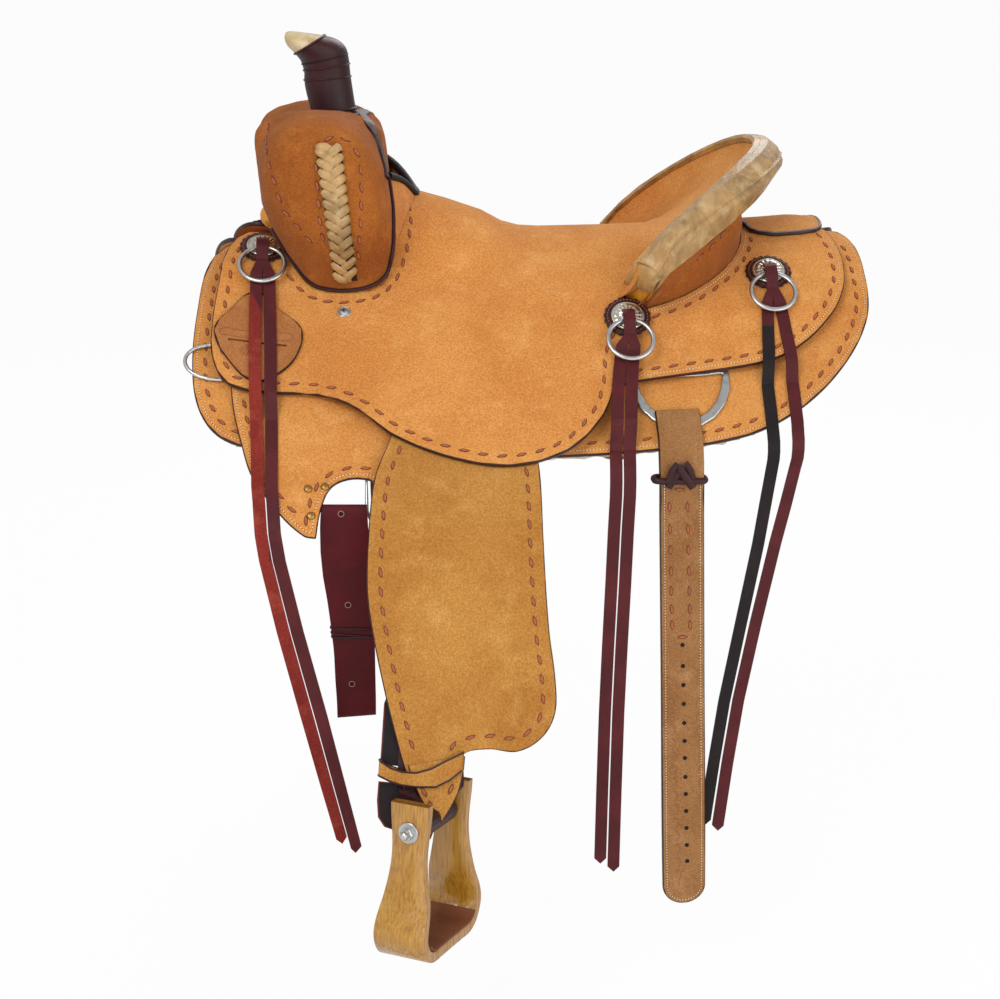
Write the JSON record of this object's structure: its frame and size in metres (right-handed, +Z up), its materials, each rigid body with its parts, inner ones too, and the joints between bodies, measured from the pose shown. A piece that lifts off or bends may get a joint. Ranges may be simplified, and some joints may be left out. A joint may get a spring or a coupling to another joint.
{
  "type": "ranch saddle",
  "caption": "Western ranch saddle with swell fork, wrapped horn, rawhide-bound cantle, in-skirt rigging, fenders and bent-wood stirrups.",
  "frame": {"origin": "mid-plane of the saddle on the horse's back, under the middle of the bars", "axes": "+Z up, +X towards the rear of the horse, the near (left) side at -Y"},
  "size_m": [0.7225, 0.9444, 0.8994],
  "materials": {
    "roughout_leather": "flesh side out, napped, oiled",
    "fork_leather": "flesh side out, darker",
    "tan_leather": "harness leather, matt",
    "latigo_leather": "burgundy, waxed",
    "dark_leather": "dark burgundy, glossy",
    "rawhide": "rawhide, smooth",
    "tree_rawhide": "rawhide, varnished",
    "fleece": "shearling",
    "nickel_silver": "engraved, polished",
    "stainless_steel": "polished",
    "varnished_oak": "varnished",
    "tread_leather": "worn"
  },
  "bodies": {
    "saddle": {"tree": "tree_rawhide", "horn": "rawhide", "horn_wrap": "dark_leather", "fork_cover": "fork_leather", "braid_inlay_left": "rawhide", "braid_inlay_right": "rawhide", "ground_seat": "tan_leather", "seat": "roughout_leather", "cantle_binding": "rawhide", "cantle_back": "fork_leather", "rear_jockey_left": "roughout_leather", "rear_jockey_right": "roughout_leather", "skirt_left": "roughout_leather", "skirt_right": "roughout_leather", "fleece_left": "fleece", "fleece_right": "fleece", "rigging_left": "roughout_leather", "rigging_right": "roughout_leather", "keeper_leaf_left": "tan_leather", "rigging_dee_left": "stainless_steel", "rigging_dee_right": "stainless_steel", "concho_front_left": "nickel_silver", "concho_front_right": "nickel_silver", "concho_middle_left": "nickel_silver", "concho_middle_right": "nickel_silver", "concho_rear_left": "nickel_silver", "concho_rear_right": "nickel_silver"},
    "fender_left_body": {"fender_left": "roughout_leather", "stirrup_leather_left": "latigo_leather", "hobble_strap_left": "tan_leather", "stirrup_bolt_left": "stainless_steel"},
    "stirrup_left_body": {"stirrup_left": "varnished_oak", "stirrup_tread_left": "tread_leather"},
    "ring_front_left_body": {"ring_front_left": "stainless_steel"},
    "string_front_left_body": {"string_front_left": "latigo_leather"},
    "ring_middle_left_body": {"ring_middle_left": "stainless_steel"},
    "string_middle_left_body": {"string_middle_left": "latigo_leather"},
    "ring_rear_left_body": {"ring_rear_left": "stainless_steel"},
    "string_rear_left_body": {"string_rear_left": "latigo_leather"},
    "breast_dee_left_body": {"breast_dee_left": "stainless_steel"},
    "rear_dee_left_body": {"rear_dee_left": "stainless_steel"},
    "rear_billet_left_body": {"rear_billet_left": "tan_leather"},
    "latigo_left_body": {"latigo_left": "latigo_leather"},
    "fender_right_body": {"fender_right": "roughout_leather", "stirrup_leather_right": "latigo_leather", "hobble_strap_right": "tan_leather", "stirrup_bolt_right": "stainless_steel"},
    "stirrup_right_body": {"stirrup_right": "varnished_oak", "stirrup_tread_right": "tread_leather"},
    "ring_front_right_body": {"ring_front_right": "stainless_steel"},
    "string_front_right_body": {"string_front_right": "latigo_leather"},
    "ring_middle_right_body": {"ring_middle_right": "stainless_steel"},
    "string_middle_right_body": {"string_middle_right": "latigo_leather"},
    "ring_rear_right_body": {"ring_rear_right": "stainless_steel"},
    "string_rear_right_body": {"string_rear_right": "latigo_leather"},
    "breast_dee_right_body": {"breast_dee_right": "stainless_steel"},
    "rear_dee_right_body": {"rear_dee_right": "stainless_steel"},
    "rear_billet_right_body": {"rear_billet_right": "tan_leather"},
    "off_billet_right_body": {"off_billet_right": "latigo_leather"}
  },
  "joints": [
    {"name": "fender_swing_left", "type": "hinge", "parent": "saddle", "child": "fender_left_body", "pos_m": [-0.092, -0.13881, -0.04391], "axis": [0, -0.6947, 0.7193], "range_deg": [-10, 12]},
    {"name": "stirrup_turn_left", "type": "hinge", "parent": "fender_left_body", "child": "stirrup_left_body", "pos_m": [-0.118, -0.39305, -0.48358], "axis": [-0.4669, -0.8781, 0.1045], "range_deg": [-30, 30]},
    {"name": "ring_lift_front_left", "type": "hinge", "parent": "saddle", "child": "ring_front_left_body", "pos_m": [-0.277, -0.08378, 0.03045], "axis": [-1, 0, 0], "range_deg": [0, 28]},
    {"name": "string_sway_front_left", "type": "hinge", "parent": "saddle", "child": "string_front_left_body", "pos_m": [-0.277, -0.08378, 0.03045], "axis": [0.055, -0.4841, 0.8733], "range_deg": [-4, 1]},
    {"name": "ring_lift_middle_left", "type": "hinge", "parent": "saddle", "child": "ring_middle_left_body", "pos_m": [0.101, -0.16389, -0.03783], "axis": [-1, 0, 0], "range_deg": [0, 35]},
    {"name": "string_sway_middle_left", "type": "hinge", "parent": "saddle", "child": "string_middle_left_body", "pos_m": [0.101, -0.16389, -0.03783], "axis": [-0.0182, -0.6945, 0.7192], "range_deg": [-4, 4]},
    {"name": "ring_lift_rear_left", "type": "hinge", "parent": "saddle", "child": "ring_rear_left_body", "pos_m": [0.258, -0.11884, 0.00095], "axis": [-1, 0, 0], "range_deg": [0, 35]},
    {"name": "string_sway_rear_left", "type": "hinge", "parent": "saddle", "child": "string_rear_left_body", "pos_m": [0.258, -0.11884, 0.00095], "axis": [-0.0438, -0.573, 0.8184], "range_deg": [-2, 3]},
    {"name": "breast_dee_lift_left", "type": "hinge", "parent": "saddle", "child": "breast_dee_left_body", "pos_m": [-0.318, -0.17381, -0.07355], "axis": [0, 0.7193, 0.6947], "range_deg": [0, 12]},
    {"name": "rear_dee_lift_left", "type": "hinge", "parent": "saddle", "child": "rear_dee_left_body", "pos_m": [0.151, -0.17783, -0.08957], "axis": [-1, 0, 0], "range_deg": [0, 6]},
    {"name": "rear_billet_swing_left", "type": "hinge", "parent": "rear_dee_left_body", "child": "rear_billet_left_body", "pos_m": [0.151, -0.21894, -0.12329], "axis": [-1, 0, 0], "range_deg": [0, 40]},
    {"name": "latigo_left_swing", "type": "hinge", "parent": "saddle", "child": "latigo_left_body", "pos_m": [-0.15, -0.2875, -0.213], "axis": [0, -1, 0], "range_deg": [-12, 0]},
    {"name": "fender_swing_right", "type": "hinge", "parent": "saddle", "child": "fender_right_body", "pos_m": [-0.092, 0.13881, -0.04391], "axis": [0, -0.6947, -0.7193], "range_deg": [-10, 12]},
    {"name": "stirrup_turn_right", "type": "hinge", "parent": "fender_right_body", "child": "stirrup_right_body", "pos_m": [-0.118, 0.39305, -0.48358], "axis": [0.4669, -0.8781, -0.1045], "range_deg": [-30, 30]},
    {"name": "ring_lift_front_right", "type": "hinge", "parent": "saddle", "child": "ring_front_right_body", "pos_m": [-0.277, 0.08378, 0.03045], "axis": [1, 0, 0], "range_deg": [0, 28]},
    {"name": "string_sway_front_right", "type": "hinge", "parent": "saddle", "child": "string_front_right_body", "pos_m": [-0.277, 0.08378, 0.03045], "axis": [-0.055, -0.4841, -0.8733], "range_deg": [-4, 1]},
    {"name": "ring_lift_middle_right", "type": "hinge", "parent": "saddle", "child": "ring_middle_right_body", "pos_m": [0.101, 0.16389, -0.03783], "axis": [1, 0, 0], "range_deg": [0, 35]},
    {"name": "string_sway_middle_right", "type": "hinge", "parent": "saddle", "child": "string_middle_right_body", "pos_m": [0.101, 0.16389, -0.03783], "axis": [0.0182, -0.6945, -0.7192], "range_deg": [-4, 4]},
    {"name": "ring_lift_rear_right", "type": "hinge", "parent": "saddle", "child": "ring_rear_right_body", "pos_m": [0.258, 0.11884, 0.00095], "axis": [1, 0, 0], "range_deg": [0, 35]},
    {"name": "string_sway_rear_right", "type": "hinge", "parent": "saddle", "child": "string_rear_right_body", "pos_m": [0.258, 0.11884, 0.00095], "axis": [0.0438, -0.573, -0.8184], "range_deg": [-2, 3]},
    {"name": "breast_dee_lift_right", "type": "hinge", "parent": "saddle", "child": "breast_dee_right_body", "pos_m": [-0.318, 0.17381, -0.07355], "axis": [0, 0.7193, -0.6947], "range_deg": [0, 12]},
    {"name": "rear_dee_lift_right", "type": "hinge", "parent": "saddle", "child": "rear_dee_right_body", "pos_m": [0.151, 0.17783, -0.08957], "axis": [1, 0, 0], "range_deg": [0, 6]},
    {"name": "rear_billet_swing_right", "type": "hinge", "parent": "rear_dee_right_body", "child": "rear_billet_right_body", "pos_m": [0.151, 0.21894, -0.12329], "axis": [1, 0, 0], "range_deg": [0, 40]},
    {"name": "off_billet_right_swing", "type": "hinge", "parent": "saddle", "child": "off_billet_right_body", "pos_m": [-0.15, 0.2875, -0.213], "axis": [0, -1, 0], "range_deg": [-12, 12]}
  ]
}
